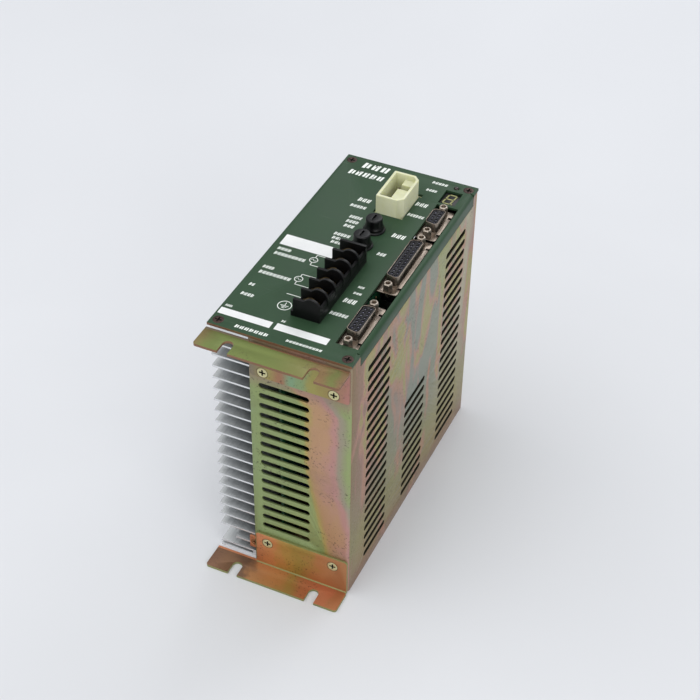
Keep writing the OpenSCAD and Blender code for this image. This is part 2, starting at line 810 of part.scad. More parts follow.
// Hexagonal posts: short ones from the heatsink to the power board, long ones on to the control board
module board_posts() {
    y = board_post_y;
    power_x = power_board_x + board_t;
    color([0.76, 0.66, 0.38]) for (s = [-1, 1], z = board_post_z) {
        difference() {
            union() {
                translate([base_x, s * y, z]) rotate([0, 90, 0])
                    cylinder(r = 3.2, h = power_board_x - base_x, $fn = 6);
                rod_x(s * y, z, m3_r, cover_x + 1.5, base_x + 1);
            }
            rod_x(s * y, z, m3_hole_r, power_board_x - 6, power_board_x + 1);
        }
        difference() {
            union() {
                translate([power_x, s * y, z]) rotate([0, 90, 0])
                    cylinder(r = 3.2, h = control_board_x - power_x, $fn = 6);
                rod_x(s * y, z, m3_r, power_x - 6, power_x + 1);
            }
            rod_x(s * y, z, m3_hole_r, control_board_x - 7, control_board_x + 1);
        }
    }
}

module board_screws() {
    face = control_board_x + board_t;
    color([0.74, 0.72, 0.68]) for (s = [-1, 1], z = board_post_z)
        translate([face, s * board_post_y, z]) rotate([0, 90, 0]) difference() {
            union() {
                translate([0, 0, -6]) cylinder(r = m3_r, h = 6.1);
                cylinder(r = 2.8, h = 2);
            }
            translate([0, 0, 2]) cross_recess(3.4, 1.3);
        }
}

module power_module() {
    color([0.13, 0.13, 0.14]) box(base_x + 0.05, -22, 34, base_x + 8, 44, 84);
}

module rectifier() {
    color([0.15, 0.15, 0.16]) box(base_x + 0.05, -62, 44, base_x + 6.5, -34, 66);
}

module bulk_capacitors() {
    x = power_board_x + board_t + 0.02;
    color([0.20, 0.22, 0.30]) for (p = [[-48, 46], [-48, 84], [-14, 46], [-14, 84]])
        rod_x(p[0], p[1], 15, x, x + 24);
}

module filter_choke() {
    x = power_board_x + board_t + 0.02;
    color([0.60, 0.36, 0.20]) translate([x + 5.5, 34, 52]) rotate([0, 90, 0])
        rotate_extrude() translate([11, 0]) circle(r = 5.4);
}

module control_relay() {
    x = power_board_x + board_t + 0.02;
    color([0.16, 0.22, 0.40]) box(x, 22, 84, x + 15, 50, 98);
}

front_panel();
cover();
rear_plate();
heatsink();
bracket_lower();
bracket_upper();
panel_screws();
bracket_screws();
rear_plate_screws();
ear_screws();
clinch_nuts();
terminal_block();
terminal_plates();
terminal_washer(0);  // terminal_washer_1
terminal_washer(1);  // terminal_washer_2
terminal_washer(2);  // terminal_washer_3
terminal_washer(3);  // terminal_washer_4
terminal_washer(4);  // terminal_washer_5
terminal_washer(5);  // terminal_washer_6
terminal_screw(0);  // terminal_screw_1
terminal_screw(1);  // terminal_screw_2
terminal_screw(2);  // terminal_screw_3
terminal_screw(3);  // terminal_screw_4
terminal_screw(4);  // terminal_screw_5
terminal_screw(5);  // terminal_screw_6
fuse_holder(0);  // fuse_holder_1
fuse_holder(1);  // fuse_holder_2
fuse_nuts();
fuse_link(0);  // fuse_link_1
fuse_link(1);  // fuse_link_2
fuse_cap(0);  // fuse_cap_1
fuse_cap(1);  // fuse_cap_2
motor_shroud();
motor_contacts();
port_shell(sensor_port);  // sensor_port_shell
port_insert(sensor_port);  // sensor_port_insert
port_contacts(sensor_port);  // sensor_port_contacts
port_shell(io_port);  // io_port_shell
port_insert(io_port);  // io_port_insert
port_contacts(io_port);  // io_port_contacts
port_shell(serial_port);  // serial_port_shell
port_insert(serial_port);  // serial_port_insert
port_contacts(serial_port);  // serial_port_contacts
jack_sockets();
digit_display();
digit_segments();
power_led();
check_pins();
control_board();
control_chips();
power_board();
board_posts();
board_screws();
power_module();
rectifier();
bulk_capacitors();
filter_choke();
control_relay();
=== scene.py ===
"""Looks of a servo drive in a sheet-metal case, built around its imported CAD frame."""
import json
import math

import bmesh
import bpy
from mathutils import Matrix, Vector


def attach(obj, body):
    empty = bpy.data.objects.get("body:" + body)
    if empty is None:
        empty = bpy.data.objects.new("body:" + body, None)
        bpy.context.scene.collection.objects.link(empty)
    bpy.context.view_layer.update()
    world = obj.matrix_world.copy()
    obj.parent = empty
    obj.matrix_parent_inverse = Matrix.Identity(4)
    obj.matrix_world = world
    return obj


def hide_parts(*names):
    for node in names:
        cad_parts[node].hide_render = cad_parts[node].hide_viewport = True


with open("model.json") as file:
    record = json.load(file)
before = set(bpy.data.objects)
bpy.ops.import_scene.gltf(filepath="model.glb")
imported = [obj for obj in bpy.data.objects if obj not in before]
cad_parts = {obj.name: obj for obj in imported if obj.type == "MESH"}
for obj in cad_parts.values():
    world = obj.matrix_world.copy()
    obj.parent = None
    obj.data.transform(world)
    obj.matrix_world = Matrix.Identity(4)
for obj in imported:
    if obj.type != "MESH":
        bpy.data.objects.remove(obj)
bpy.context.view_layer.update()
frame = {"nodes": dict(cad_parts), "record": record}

# ---------------------------------------------------------------------------------------------
# Cover. Folded steel sheet, punched with rows of slots, then zinc plated and dipped in yellow
# chromate. The film's thickness differs from place to place, which gives it bands of green,
# gold, pink and grey-blue.
# ---------------------------------------------------------------------------------------------
MM = 0.001
body_of = {n: b for b, nodes in frame["record"]["behaviour"]["bodies"].items() for n in nodes}


def node_box(node):
    """The lowest and the highest corner of a CAD node, in metres."""
    points = [vertex.co for vertex in frame["nodes"][node].data.vertices]
    return [Vector([pick(p[axis] for p in points) for axis in range(3)]) for pick in (min, max)]


case_side, case_end = node_box("cover")[1].xy
SKIN = 1.1 * MM  # a face further in than this is on the inside of the 1.2 mm sheet
WELD = 0.0015 * MM
NEARLY_FLAT = math.radians(0.6)


def tone(r, g, b):
    """A display colour, 0 to 255, as the linear colour that a shader takes."""
    return tuple((c / 255) ** 2.2 for c in (r, g, b)) + (1.0,)


def put(tree, kind, inputs=None, **settings):
    """Adds a node, sets its options, and links or sets its inputs."""
    made = tree.nodes.new(kind)
    for name, value in settings.items():
        setattr(made, name, value)
    for name, value in (inputs or {}).items():
        if isinstance(value, bpy.types.NodeSocket):
            tree.links.new(value, made.inputs[name])
        else:
            made.inputs[name].default_value = value
    return made


def calc(tree, operation, a, b=0.0):
    """One sum on values that may change over the surface."""
    return put(tree, "ShaderNodeMath", {0: a, 1: b}, operation=operation).outputs[0]


def spread(tree, value, from_low, from_high, to_low=0.0, to_high=1.0):
    """Maps a range of values to another range, and holds it at both ends."""
    return put(tree, "ShaderNodeMapRange", {
        "Value": value, "From Min": from_low, "From Max": from_high, "To Min": to_low, "To Max": to_high,
    }).outputs["Result"]


def ramp(tree, value, stops, smooth="LINEAR"):
    """Turns a value into a colour, or a grey, by stops between 0 and 1."""
    made = put(tree, "ShaderNodeValToRGB", {"Fac": value})
    band = made.color_ramp
    band.interpolation = smooth
    while len(band.elements) < len(stops):
        band.elements.new(0.5)
    for element, (at, colour) in zip(band.elements, stops):
        element.position = at
        element.color = colour if isinstance(colour, tuple) else (colour, colour, colour, 1.0)
    return made.outputs["Color"]


def mixed(tree, share, a, b):
    """Colour a with a share of colour b over it."""
    made = put(tree, "ShaderNodeMix", data_type="RGBA")
    for socket, value in ((made.inputs[0], share), (made.inputs[6], a), (made.inputs[7], b)):
        if isinstance(value, bpy.types.NodeSocket):
            tree.links.new(value, socket)
        else:
            socket.default_value = value
    return made.outputs[2]


def noise(tree, where, scale, detail, roughness=0.5, distortion=0.0):
    """Cloudy noise, about 0.5 on average. A scale of 1 makes clouds about a metre wide."""
    return put(tree, "ShaderNodeTexNoise", {
        "Vector": where, "Scale": scale, "Detail": detail, "Roughness": roughness, "Distortion": distortion,
    }).outputs["Fac"]


def finish(name, **plain):
    """A material with one shader. Values that are the same all over are set on its own sockets."""
    made = bpy.data.materials.new(name)
    made.use_nodes = True
    tree = made.node_tree
    shader = tree.nodes["Principled BSDF"]
    for socket, value in plain.items():
        shader.inputs[socket.replace("_", " ")].default_value = value
    where = put(tree, "ShaderNodeTexCoord").outputs["Object"]
    return made, tree, shader, where


def feed(tree, shader, **sources):
    """Links what changes over the surface to the shader."""
    for socket, source in sources.items():
        tree.links.new(source, shader.inputs[socket.replace("_", " ")])


def relief(tree, shader, height, distance, strength):
    """Fine unevenness of the surface, this deep in metres."""
    bump = put(tree, "ShaderNodeBump", {"Height": height, "Strength": strength, "Distance": distance})
    feed(tree, shader, Normal=bump.outputs["Normal"])


def group(name, inputs, outputs):
    """An empty shader node group with float inputs, a Vector input, and named outputs."""
    made = bpy.data.node_groups.new(name, "ShaderNodeTree")
    made.interface.new_socket("Vector", in_out="INPUT", socket_type="NodeSocketVector")
    for socket, value in inputs.items():
        made.interface.new_socket(socket, in_out="INPUT", socket_type="NodeSocketFloat").default_value = value
    for socket in outputs:
        made.interface.new_socket(socket, in_out="OUTPUT", socket_type="NodeSocketFloat")
    return made, made.nodes.new("NodeGroupInput"), made.nodes.new("NodeGroupOutput")


def use(tree, made, where, **values):
    """Places a node group in a material, with its own values, and gives its outputs."""
    inputs = {"Vector": where, **{k.replace("_", " "): v for k, v in values.items()}}
    return put(tree, "ShaderNodeGroup", inputs, node_tree=made).outputs


# the uneven film of a chromate dip: its thickness, its grain, and dark specks in it
film, ends, out = group("chromate_film", {"Shift": 0.5, "Spread": 0.2, "Scale": 30.0},
                        ["Film", "Grain", "Speck"])
cloud = noise(film, ends.outputs["Vector"], ends.outputs["Scale"], 3.0, 0.55, 0.7)
wisp_scale = calc(film, "MULTIPLY", ends.outputs["Scale"], 4.3)
wisp = noise(film, ends.outputs["Vector"], wisp_scale, 4.0, 0.6, 1.0)
uneven = calc(film, "ADD", calc(film, "MULTIPLY", calc(film, "SUBTRACT", cloud, 0.5), 2.6),
              calc(film, "MULTIPLY", calc(film, "SUBTRACT", wisp, 0.5), 0.8))
uneven = calc(film, "MULTIPLY", uneven, ends.outputs["Spread"])
film.links.new(calc(film, "ADD", ends.outputs["Shift"], uneven), out.inputs["Film"])
grain = noise(film, ends.outputs["Vector"], 900.0, 3.0, 0.7)
film.links.new(grain, out.inputs["Grain"])
spots = noise(film, ends.outputs["Vector"], 760.0, 2.0, 0.6)
areas = noise(film, ends.outputs["Vector"], 45.0, 2.0)
film.links.new(calc(film, "MULTIPLY", spread(film, spots, 0.60, 0.67), spread(film, areas, 0.44, 0.60)),
               out.inputs["Speck"])

CHROMATE_BANDS = [
    (0.00, tone(162, 146, 100)), (0.10, tone(140, 128, 104)), (0.20, tone(134, 142, 136)),
    (0.30, tone(136, 160, 142)), (0.42, tone(144, 160, 108)), (0.52, tone(154, 164, 104)),
    (0.61, tone(182, 162, 98)), (0.69, tone(192, 152, 116)), (0.79, tone(190, 144, 136)),
    (0.88, tone(160, 152, 132)), (0.96, tone(150, 164, 112)), (1.00, tone(156, 160, 112)),
]

cover_zinc, tree, shader, where = finish("cover_chromate", Metallic=0.5, Specular_IOR_Level=0.5)
at = put(tree, "ShaderNodeSeparateXYZ", {"Vector": where}).outputs
on_end = calc(tree, "GREATER_THAN", calc(tree, "ABSOLUTE", at["Y"]), case_end - 1.4 * MM)
# end walls: upright bands from green through gold to pink, which lean over low down and near
# the top, and a pinkish brown strip along the top
low = spread(tree, at["Z"], 0.03, 0.09, 0.0125, 0.0)
high = spread(tree, at["Z"], 0.135, 0.150, 0.0, 0.012)
across = calc(tree, "ADD", calc(tree, "SUBTRACT", at["X"], low), high)
end_film = ramp(tree, spread(tree, across, -0.018, case_side), [
    (0.0, 0.43), (0.50, 0.45), (0.575, 0.63), (0.64, 0.70), (0.78, 0.74), (0.85, 0.81), (0.91, 0.90),
    (1.0, 0.97)])
coat = use(tree, film, where, Shift=end_film, Spread=0.07, Scale=26.0)
end_tint = ramp(tree, coat["Film"], CHROMATE_BANDS, "EASE")
crest = calc(tree, "ADD", at["Z"], spread(tree, coat["Grain"], 0.0, 1.0, -0.004, 0.004))
end_tint = mixed(tree, spread(tree, crest, 0.138, 0.147, 0.0, 0.7), end_tint, tone(158, 130, 118))
# right wall: pink at both ends, olive and blue-grey between them, yellow-green low down
along = spread(tree, at["Y"], -case_end, case_end)
along = use(tree, film, where, Shift=along, Spread=0.06, Scale=20.0)["Film"]
wall = ramp(tree, along, [
    (0.00, tone(142, 120, 94)), (0.06, tone(152, 122, 104)), (0.14, tone(150, 124, 106)),
    (0.26, tone(140, 138, 116)), (0.38, tone(134, 138, 122)), (0.50, tone(134, 140, 126)),
    (0.66, tone(138, 142, 126)), (0.80, tone(152, 146, 112)), (0.90, tone(174, 168, 142)),
    (0.97, tone(166, 146, 132)), (1.00, tone(156, 130, 124))], "EASE")
foot = use(tree, film, where, Shift=spread(tree, at["Z"], 0.0, 0.10), Spread=0.09, Scale=26.0)["Film"]
foot_tint = ramp(tree, foot, [
    (0.02, tone(154, 124, 102)), (0.16, tone(156, 140, 100)), (0.34, tone(152, 146, 98)),
    (0.60, tone(150, 144, 108))], "EASE")
wall = mixed(tree, spread(tree, foot, 0.35, 0.85, 0.85, 0.0), wall, foot_tint)
# slanting tongues of pink and yellow, where the dip ran off
slant = put(tree, "ShaderNodeMapping", {
    "Vector": where, "Rotation": (0.62, 0.0, 0.0), "Scale": (1.0, 1.0, 0.30)})
flame = noise(tree, slant.outputs["Vector"], 48.0, 2.5, 0.5, 1.0)
flame = calc(tree, "MULTIPLY", flame, spread(tree, at["Z"], 0.03, 0.12, 0.80, 1.08))
flame_tint = ramp(tree, flame, [
    (0.49, tone(178, 126, 124)), (0.56, tone(182, 138, 116)), (0.61, tone(166, 156, 98)),
    (0.72, tone(158, 162, 106))], "EASE")
wall = mixed(tree, spread(tree, flame, 0.485, 0.55, 0.0, 0.8), wall, flame_tint)
tint = mixed(tree, on_end, wall, end_tint)
grime = calc(tree, "MULTIPLY", spread(tree, noise(tree, where, 38.0, 6.0, 0.7), 0.52, 0.78), 0.35)
tint = mixed(tree, grime, tint, tone(104, 92, 74))
tint = mixed(tree, calc(tree, "MULTIPLY", coat["Speck"], 0.7), tint, tone(62, 56, 46))
feed(tree, shader, Base_Color=tint, Roughness=spread(tree, coat["Grain"], 0.3, 0.7, 0.36, 0.56))
relief(tree, shader, coat["Grain"], 0.03 * MM, 0.35)


def placed(name, shape):
    """Turns a finished bmesh into an object in the scene."""
    mesh = bpy.data.meshes.new(name)
    shape.to_mesh(mesh)
    shape.free()
    piece = bpy.data.objects.new(name, mesh)
    bpy.context.scene.collection.objects.link(piece)
    return piece


def soft_edges(piece, radius, segments):
    """Rounds a piece's sharp edges. The radius is in millimetres."""
    edges = piece.modifiers.new("edges", "BEVEL")
    edges.width = radius * MM
    edges.segments = segments
    edges.limit_method = "ANGLE"
    edges.angle_limit = math.radians(30)
    edges.harden_normals = True


def rounded(node, radius, segments=2, name=None, second=None):
    """A copy of a CAD node with rounded edges, which stands and moves in the node's place.
    The faces that second() picks get the piece's second material."""
    shape = bmesh.new()
    shape.from_mesh(frame["nodes"][node].data)
    bmesh.ops.remove_doubles(shape, verts=shape.verts, dist=WELD)
    bmesh.ops.dissolve_limit(shape, angle_limit=NEARLY_FLAT, verts=shape.verts, edges=shape.edges)
    for face in shape.faces:
        face.smooth = True
        face.material_index = 1 if second and second(face) else 0
    piece = placed(name or node + "_made", shape)
    soft_edges(piece, radius, segments)
    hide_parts(node)
    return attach(piece, body_of[node])


def coated(piece, *materials):
    """Gives a piece its materials, in order."""
    for material in materials:
        piece.data.materials.append(material)
    return piece


# painted shade: the inside of the cover and the walls of its slots get a dark brown, not the chromate, to
# stand in for the shade inside the case
cover_inside_painted_shade, tree, shader, where = finish("cover_inside_painted_shade", Metallic=0.3)
coat = use(tree, film, where, Shift=0.5, Spread=0.3, Scale=30.0)
inside_painted_shade = ramp(tree, coat["Film"], [(0.1, tone(40, 36, 29)), (0.5, tone(52, 50, 36)), (0.9, tone(60, 50, 38))])
feed(tree, shader, Base_Color=inside_painted_shade, Roughness=spread(tree, coat["Grain"], 0.3, 0.7, 0.5, 0.66))


def painted_shade_faces(face):
    """The cover's inner faces, and the punched walls of the slots in its right side, which are painted dark
    to stand in for the shade there.
    """
    middle = face.calc_center_median()
    inner = middle.x < case_side - SKIN and abs(middle.y) < case_end - SKIN
    in_sheet = case_side - SKIN < middle.x < case_side - 0.1 * MM and abs(face.normal.x) < 0.5
    among_slots = abs(middle.y) < case_end - 4 * MM and middle.z < 0.165
    return inner or (in_sheet and among_slots)


coated(rounded("cover", 0.1, 2, "cover_sheet", painted_shade_faces), cover_zinc, cover_inside_painted_shade)

# ---------------------------------------------------------------------------------------------
# Heatsink. One aluminium extrusion, mill finish: fine lines along its length on the fins, and
# bright sawn faces at both ends.
# ---------------------------------------------------------------------------------------------
bare_aluminium, tree, shader, where = finish("mill_aluminium", Metallic=0.6, Specular_IOR_Level=0.4)
lines = put(tree, "ShaderNodeMapping", {"Vector": where, "Scale": (1.0, 0.012, 1.0)}).outputs["Vector"]
drawn = noise(tree, lines, 1400.0, 3.0, 0.7)
outward = put(tree, "ShaderNodeNewGeometry").outputs["Normal"]
facing = put(tree, "ShaderNodeSeparateXYZ", {"Vector": outward}).outputs
sawn = calc(tree, "GREATER_THAN", calc(tree, "ABSOLUTE", facing["Y"]), 0.7)
bloom = noise(tree, where, 22.0, 4.0, 0.6, 0.4)
metal = mixed(tree, spread(tree, drawn, 0.3, 0.7), tone(160, 163, 164), tone(178, 181, 182))
metal = mixed(tree, spread(tree, bloom, 0.5, 0.8, 0.0, 0.5), metal, tone(148, 149, 148))
# painted shade: the metal darkens deep between the fins, towards their roots, where shade falls
fin_mouth, fin_root = -36 * MM, -20 * MM
inward = put(tree, "ShaderNodeSeparateXYZ", {"Vector": where}).outputs["X"]
root_painted_shade = spread(tree, inward, fin_mouth, fin_root, 0.0, 0.6)
metal = mixed(tree, root_painted_shade, metal, tone(96, 99, 99))
metal = mixed(tree, sawn, metal, tone(236, 238, 240))
feed(tree, shader, Base_Color=metal, Roughness=spread(tree, drawn, 0.3, 0.7, 0.36, 0.52))
relief(tree, shader, drawn, 0.02 * MM, 0.25)
coated(rounded("heatsink", 0.1, 1, "fin_block"), bare_aluminium)

# ---------------------------------------------------------------------------------------------
# Rear plate and the two near-end brackets. Sheared and folded steel, 1.2 and 1.6 mm, in the same
# chromate as the cover. The lower one came out copper and brown, the upper one olive. Each is
# held to the end wall by two countersunk screws.
# ---------------------------------------------------------------------------------------------
HEAD_R = 3.1 * MM
BRACKETS_APART_Z = 80 * MM  # the upper bracket is above this height, the lower one below it
leg_low, leg_high = node_box("bracket_screws")
leg_middle = (leg_low + leg_high) / 2
leg_half = (leg_high - leg_low) / 2 - Vector((HEAD_R, 0, HEAD_R))
leg_face = -leg_low.y
bracket_zinc, tree, shader, where = finish("bracket_chromate", Metallic=0.5, Specular_IOR_Level=0.5)
at = put(tree, "ShaderNodeSeparateXYZ", {"Vector": where}).outputs
screw_x, screw_z = (
    calc(tree, "SUBTRACT", calc(tree, "ABSOLUTE", calc(tree, "SUBTRACT", place, middle)), half)
    for place, middle, half in ((at["X"], leg_middle.x, leg_half.x), (at["Z"], leg_middle.z, leg_half.z)))
from_screw = calc(tree, "SQRT", calc(tree, "ADD", calc(tree, "MULTIPLY", screw_x, screw_x),
                                     calc(tree, "MULTIPLY", screw_z, screw_z)))
is_upper = calc(tree, "GREATER_THAN", at["Z"], BRACKETS_APART_Z)
on_leg = calc(tree, "LESS_THAN", calc(tree, "ABSOLUTE", at["Y"]), leg_face + 0.4 * MM)
across = spread(tree, at["X"], -case_side, case_side)
coat = use(tree, film, where, Shift=across, Spread=0.07, Scale=34.0)
# upper bracket: olive flange with brown ends, and a leg that runs through teal, yellow and pink
flange_tint = ramp(tree, coat["Film"], [
    (0.00, tone(122, 108, 70)), (0.12, tone(108, 120, 66)), (0.45, tone(110, 122, 66)),
    (0.70, tone(116, 116, 66)), (0.84, tone(128, 104, 70)), (0.93, tone(110, 114, 64)),
    (1.00, tone(126, 100, 70))], "EASE")
leg_tint = ramp(tree, coat["Film"], [
    (0.30, tone(132, 120, 100)), (0.44, tone(162, 150, 90)), (0.51, tone(166, 120, 92)),
    (0.58, tone(134, 164, 128)), (0.66, tone(140, 162, 116)), (0.74, tone(162, 154, 90)),
    (0.82, tone(158, 142, 88)), (0.92, tone(170, 128, 104)), (0.98, tone(178, 126, 116))], "EASE")
upper_tint = mixed(tree, on_leg, flange_tint, leg_tint)
# lower bracket: brown at the left, then copper with olive-yellow patches
wide = use(tree, film, where, Shift=across, Spread=0.10, Scale=52.0)["Film"]
lower_tint = ramp(tree, wide, [
    (0.00, tone(122, 90, 70)), (0.12, tone(134, 100, 74)), (0.26, tone(112, 84, 64)),
    (0.36, tone(176, 126, 82)), (0.50, tone(178, 128, 80)), (0.60, tone(160, 130, 72)),
    (0.72, tone(178, 114, 78)), (0.88, tone(184, 114, 80)), (0.97, tone(172, 114, 76))], "EASE")
low_leg = ramp(tree, wide, [
    (0.26, tone(206, 132, 92)), (0.42, tone(206, 138, 88)), (0.54, tone(180, 142, 74)),
    (0.64, tone(164, 136, 68)), (0.78, tone(182, 122, 76)), (0.95, tone(174, 120, 80))], "EASE")
tint = mixed(tree, is_upper, mixed(tree, on_leg, lower_tint, low_leg), upper_tint)
tint = mixed(tree, calc(tree, "MULTIPLY", coat["Speck"], 0.6), tint, tone(66, 54, 44))
# a dark ring runs round the screw heads: painted shade for the gap there, and some dirt
tint = mixed(tree, spread(tree, from_screw, HEAD_R, 3.8 * MM, 0.85, 0.0), tint, tone(52, 44, 32))
feed(tree, shader, Base_Color=tint, Roughness=spread(tree, coat["Grain"], 0.3, 0.7, 0.34, 0.52))
relief(tree, shader, coat["Grain"], 0.03 * MM, 0.35)

cut_zinc, tree, shader, where = finish("cut_edge_chromate", Metallic=0.45)
coat = use(tree, film, where, Shift=0.5, Spread=0.3, Scale=60.0)
height = put(tree, "ShaderNodeSeparateXYZ", {"Vector": where}).outputs["Z"]
low_cut = ramp(tree, coat["Film"], [
    (0.1, tone(126, 112, 74)), (0.5, tone(142, 144, 94)), (0.9, tone(156, 152, 104))])
high_cut = ramp(tree, coat["Film"], [
    (0.1, tone(112, 86, 66)), (0.5, tone(142, 106, 82)), (0.9, tone(150, 134, 90))])
tint = mixed(tree, calc(tree, "GREATER_THAN", height, BRACKETS_APART_Z), low_cut, high_cut)
feed(tree, shader, Base_Color=tint, Roughness=spread(tree, coat["Grain"], 0.3, 0.7, 0.40, 0.60))


def sheared(face):
    """Is this face of a bracket one of its cut edges?"""
    middle = face.calc_center_median()
    if abs(middle.y) > leg_face + 1.0 * MM:
        return abs(face.normal.z) < 0.5
    leg_tip = abs(face.normal.z) > 0.5 and abs(middle.y) < leg_face + 0.8 * MM
    return abs(face.normal.x) > 0.5 or leg_tip


for level in ("lower", "upper"):
    coated(rounded("bracket_" + level, 0.2, second=sheared), bracket_zinc, cut_zinc)
coated(rounded("rear_plate", 0.15), bracket_zinc)

# ---------------------------------------------------------------------------------------------
# Front panel. Steel sheet with a folded lip, sprayed dark green over the chromate, which still
# shows on its cut edges. Satin paint with fine orange peel, slightly rubbed.
# ---------------------------------------------------------------------------------------------
panel_top = node_box("front_panel")[1].z
wear, ends, out = group("handling", {"Scale": 60.0}, ["Peel", "Cloud", "Scuff"])
fine_scale = calc(wear, "MULTIPLY", ends.outputs["Scale"], 22.0)
wear.links.new(noise(wear, ends.outputs["Vector"], fine_scale, 2.0), out.inputs["Peel"])
clouds = noise(wear, ends.outputs["Vector"], ends.outputs["Scale"], 5.0, 0.62, 0.3)
wear.links.new(clouds, out.inputs["Cloud"])
thin = put(wear, "ShaderNodeMapping", {"Vector": ends.outputs["Vector"], "Rotation": (0.3, 0.2, 0.7),
                                       "Scale": (1.0, 14.0, 6.0)}).outputs["Vector"]
streaks = noise(wear, thin, calc(wear, "MULTIPLY", ends.outputs["Scale"], 0.8), 5.0, 0.7)
wear.links.new(spread(wear, streaks, 0.64, 0.72), out.inputs["Scuff"])

panel_paint, tree, shader, where = finish("green_paint", Metallic=0.0, Specular_IOR_Level=0.22)
marks = use(tree, wear, where, Scale=40.0)
paint = mixed(tree, spread(tree, marks["Cloud"], 0.3, 0.75), tone(48, 71, 51), tone(54, 78, 57))
paint = mixed(tree, calc(tree, "MULTIPLY", marks["Scuff"], 0.12), paint, tone(120, 140, 124))
feed(tree, shader, Base_Color=paint, Roughness=spread(tree, marks["Cloud"], 0.3, 0.7, 0.40, 0.54))
relief(tree, shader, marks["Peel"], 0.03 * MM, 0.2)


def bare_rim(face):
    """The sheet's cut edges and its underside, where the paint is thin or missing."""
    middle = face.calc_center_median()
    return face.normal.z < -0.5 or (middle.y < 0.1 * MM - case_end and middle.z < panel_top - 0.7 * MM)


coated(rounded("front_panel", 0.22, 2, "panel_sheet", bare_rim), panel_paint, cut_zinc)

# ---------------------------------------------------------------------------------------------
# Print and labels. White screen print on the paint: plain strokes stand where the wording was,
# with generic symbols for a supply and for earth. Three blank white paper labels are stuck on.
# ---------------------------------------------------------------------------------------------
INK_T = 0.03 * MM
PAPER_T = 0.08 * MM
LINE_W = 0.42  # in millimetres, as every place and width of print is
print_shape = bmesh.new()


def slab(shape, x, y, wide, high, lean=0.0, turn=0.0, thick=INK_T):
    """A thin block on the panel, in millimetres about x and y. It may lean like slanted print,
    or be turned."""
    place = Matrix.Translation((x * MM, y * MM, panel_top + thick / 2)) @ Matrix.Rotation(turn, 4, "Z")
    shear = Matrix(((1, lean, 0, 0), (0, 1, 0, 0), (0, 0, 1, 0), (0, 0, 0, 1)))
    size = Matrix.Diagonal((wide * MM, high * MM, thick, 1))
    bmesh.ops.create_cube(shape, size=1.0, matrix=place @ shear @ size)


def stroke(shape, x0, y0, x1, y1, wide=LINE_W):
    """A printed line between two places."""
    slab(shape, (x0 + x1) / 2, (y0 + y1) / 2, math.hypot(x1 - x0, y1 - y0) + wide * 0.6, wide,
         turn=math.atan2(y1 - y0, x1 - x0))


def circle_line(shape, x, y, radius, wide=LINE_W):
    """A printed ring, spun from its section."""
    inner, outer = (radius - wide / 2) * MM, (radius + wide / 2) * MM
    top = panel_top + INK_T
    corners = [shape.verts.new((x * MM + r, y * MM, z)) for r, z in (
        (inner, panel_top), (outer, panel_top), (outer, top), (inner, top))]
    section = [shape.edges.new((corners[k], corners[(k + 1) % 4])) for k in range(4)]
    bmesh.ops.spin(shape, geom=corners + section, cent=(x * MM, y * MM, 0), axis=(0, 0, 1), angle=math.tau,
                   steps=36, use_merge=True)


def wording(shape, x, y, wide, high, count):
    """A row of plain slanted strokes that takes the room of a printed word."""
    pitch = wide / count
    for k in range(count):
        left = x - wide / 2 + (k + 0.5) * pitch
        first, second = (0.9, 1.0) if k % 3 else (1.0, 0.8)
        slab(shape, left - 0.22 * pitch, y, 0.32 * pitch, high * first, 0.14)
        slab(shape, left + 0.20 * pitch, y, 0.27 * pitch, high * second, 0.14)
        if k % 2:
            bar_y = y + (0.34 if k % 4 == 1 else -0.34) * high
            slab(shape, left - 0.02 * pitch, bar_y, pitch * 0.4, high * 0.22, 0.14)


# middle x and y, width, height and number of letters, from the display end to the near end
WORDS = [
    (-20.9, 83.1, 17.9, 5.8, 3), (-23.3, 73.6, 23.0, 4.8, 5), (-13.3, 49.2, 8.1, 3.8, 3),
    (-14.1, 41.9, 10.1, 2.8, 5), (-10.8, 31.2, 7.7, 2.9, 5), (-10.8, 26.5, 7.7, 2.9, 4),
    (-10.8, 21.8, 6.4, 2.9, 3), (-10.7, 12.3, 10.0, 2.9, 5), (-10.7, 8.2, 8.8, 2.6, 4),
    (-10.7, 4.3, 6.8, 2.6, 3), (20.2, 84.2, 9.8, 2.4, 5), (18.3, 75.6, 6.8, 2.4, 4),
    (18.7, 59.4, 7.5, 3.8, 3), (19.9, 47.5, 10.3, 2.8, 6), (19.0, 24.8, 8.2, 4.0, 3),
    (17.0, 5.0, 5.2, 3.0, 3), (19.3, -27.4, 3.7, 2.0, 3), (19.7, -33.2, 4.9, 2.0, 3),
    (18.8, -41.0, 7.6, 4.0, 3), (18.2, -54.0, 10.6, 2.9, 6), (-34.1, -14.2, 8.4, 2.6, 4),
    (-28.5, -19.0, 19.3, 2.8, 9), (-34.6, -32.9, 6.9, 2.6, 4), (-28.2, -38.0, 19.4, 2.8, 9),
    (-35.9, -50.4, 3.3, 2.5, 2), (-34.0, -59.5, 7.8, 2.6, 4), (-17.8, -86.0, 19.9, 2.5, 7),
    (12.7, -85.3, 21.0, 1.9, 11), (-38.4, -72.4, 4.1, 1.8, 4), (-5.9, -71.8, 2.4, 1.8, 2)]
for x, y, wide, high, count in WORDS:
    wording(print_shape, x, y, wide, high, count)
# two supplies: a sine wave in a ring, with a line to each of the two terminals that it feeds
RING_X, TERMINAL_X = -15.0, -6.2
WAVE_LEFT, WAVE_LONG, WAVE_HIGH = -16.4, 2.8, 0.75
for mid_y, upper_y, lower_y in ((-16.1, -11.3, -20.9), (-35.2, -30.6, -40.2)):
    circle_line(print_shape, RING_X, mid_y, 2.3)
    for k in range(8):
        a, b = k / 8, (k + 1) / 8
        stroke(print_shape, WAVE_LEFT + WAVE_LONG * a, mid_y + WAVE_HIGH * math.sin(math.tau * a),
               WAVE_LEFT + WAVE_LONG * b, mid_y + WAVE_HIGH * math.sin(math.tau * b), 0.34)
    for start_y, end_y in ((mid_y + 2.4, upper_y), (mid_y - 2.4, lower_y)):
        stroke(print_shape, RING_X, start_y, RING_X, end_y)
        stroke(print_shape, RING_X, end_y, TERMINAL_X, end_y)
